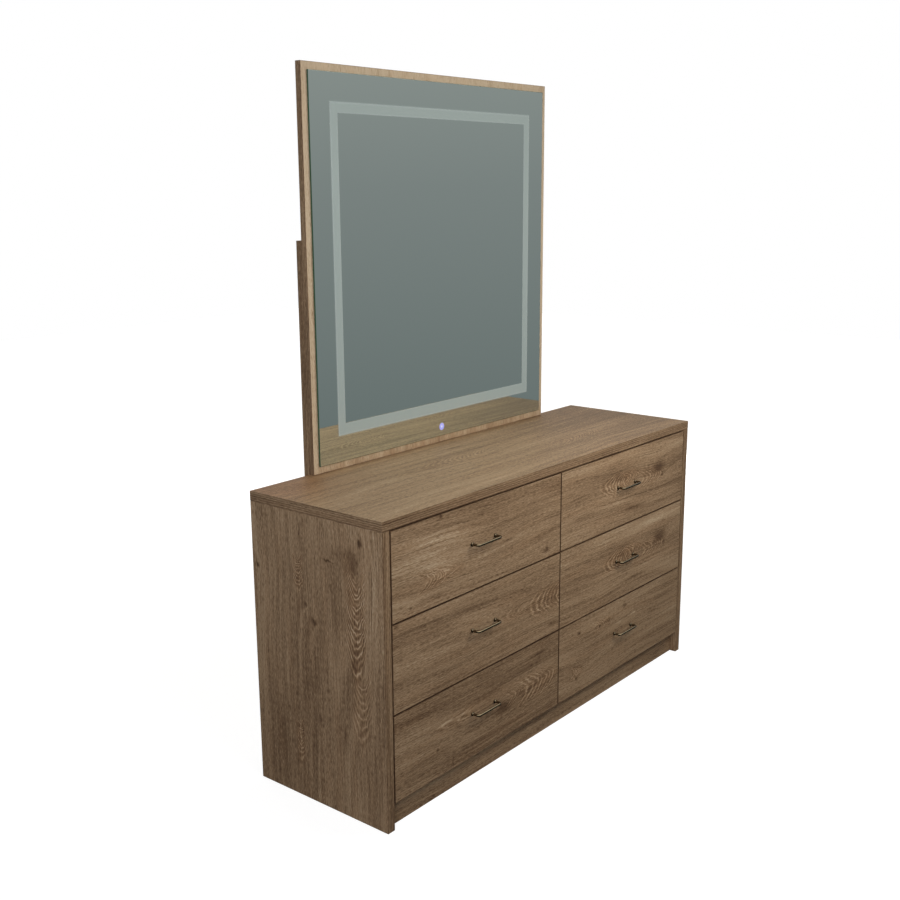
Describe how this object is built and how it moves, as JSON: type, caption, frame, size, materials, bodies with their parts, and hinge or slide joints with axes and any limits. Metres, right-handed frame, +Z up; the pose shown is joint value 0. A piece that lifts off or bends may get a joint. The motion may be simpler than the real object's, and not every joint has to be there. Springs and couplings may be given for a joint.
{
  "type": "dresser with mirror",
  "caption": "Low wide dresser with drawers on roller runners and a square lit mirror board standing on its top.",
  "frame": {"origin": "on the floor, in the middle of the rectangle that the dresser covers, handles and posts included", "axes": "+Z up, +X to the right along the front, the drawer fronts face -Y"},
  "size_m": [1.45, 0.4935, 1.8253],
  "materials": {
    "oak_board": "oak-look melamine face with banded edges",
    "drawer_board": "light melamine",
    "hardboard": "thin hardboard, light face",
    "runner_steel": "rolled steel, light coat",
    "dark_metal": "dark bronze plate, polished rail",
    "mirror_glass": "silvered glass with a frosted band",
    "white_plastic": "white strip, pad and driver case"
  },
  "bodies": {
    "cabinet": {"side_panel_left": "oak_board", "side_panel_right": "oak_board", "top_panel": "oak_board", "bottom_panel": "oak_board", "centre_divider": "oak_board", "plinth_front": "oak_board", "mirror_board": "oak_board", "mirror_post_left": "oak_board", "mirror_post_right": "oak_board", "back_panel": "hardboard", "mirror_glass": "mirror_glass", "lighting_kit": "white_plastic", "bay_bottom_left_runner_left": "runner_steel", "bay_bottom_left_runner_right": "runner_steel", "bay_bottom_right_runner_left": "runner_steel", "bay_bottom_right_runner_right": "runner_steel", "bay_middle_left_runner_left": "runner_steel", "bay_middle_left_runner_right": "runner_steel", "bay_middle_right_runner_left": "runner_steel", "bay_middle_right_runner_right": "runner_steel", "bay_top_left_runner_left": "runner_steel", "bay_top_left_runner_right": "runner_steel", "bay_top_right_runner_left": "runner_steel", "bay_top_right_runner_right": "runner_steel"},
    "drawer_bottom_left": {"drawer_bottom_left_front": "oak_board", "drawer_bottom_left_box": "drawer_board", "drawer_bottom_left_bottom": "hardboard", "drawer_bottom_left_handle": "dark_metal", "drawer_bottom_left_runner_left": "runner_steel", "drawer_bottom_left_runner_right": "runner_steel"},
    "drawer_bottom_right": {"drawer_bottom_right_front": "oak_board", "drawer_bottom_right_box": "drawer_board", "drawer_bottom_right_bottom": "hardboard", "drawer_bottom_right_handle": "dark_metal", "drawer_bottom_right_runner_left": "runner_steel", "drawer_bottom_right_runner_right": "runner_steel"},
    "drawer_middle_left": {"drawer_middle_left_front": "oak_board", "drawer_middle_left_box": "drawer_board", "drawer_middle_left_bottom": "hardboard", "drawer_middle_left_handle": "dark_metal", "drawer_middle_left_runner_left": "runner_steel", "drawer_middle_left_runner_right": "runner_steel"},
    "drawer_middle_right": {"drawer_middle_right_front": "oak_board", "drawer_middle_right_box": "drawer_board", "drawer_middle_right_bottom": "hardboard", "drawer_middle_right_handle": "dark_metal", "drawer_middle_right_runner_left": "runner_steel", "drawer_middle_right_runner_right": "runner_steel"},
    "drawer_top_left": {"drawer_top_left_front": "oak_board", "drawer_top_left_box": "drawer_board", "drawer_top_left_bottom": "hardboard", "drawer_top_left_handle": "dark_metal", "drawer_top_left_runner_left": "runner_steel", "drawer_top_left_runner_right": "runner_steel"},
    "drawer_top_right": {"drawer_top_right_front": "oak_board", "drawer_top_right_box": "drawer_board", "drawer_top_right_bottom": "hardboard", "drawer_top_right_handle": "dark_metal", "drawer_top_right_runner_left": "runner_steel", "drawer_top_right_runner_right": "runner_steel"}
  },
  "joints": [
    {"name": "drawer_bottom_left_slide", "type": "slide", "parent": "cabinet", "child": "drawer_bottom_left", "axis": [0, -1, 0], "range_m": [0, 0.3]},
    {"name": "drawer_bottom_right_slide", "type": "slide", "parent": "cabinet", "child": "drawer_bottom_right", "axis": [0, -1, 0], "range_m": [0, 0.3]},
    {"name": "drawer_middle_left_slide", "type": "slide", "parent": "cabinet", "child": "drawer_middle_left", "axis": [0, -1, 0], "range_m": [0, 0.3]},
    {"name": "drawer_middle_right_slide", "type": "slide", "parent": "cabinet", "child": "drawer_middle_right", "axis": [0, -1, 0], "range_m": [0, 0.3]},
    {"name": "drawer_top_left_slide", "type": "slide", "parent": "cabinet", "child": "drawer_top_left", "axis": [0, -1, 0], "range_m": [0, 0.3]},
    {"name": "drawer_top_right_slide", "type": "slide", "parent": "cabinet", "child": "drawer_top_right", "axis": [0, -1, 0], "range_m": [0, 0.3]}
  ]
}
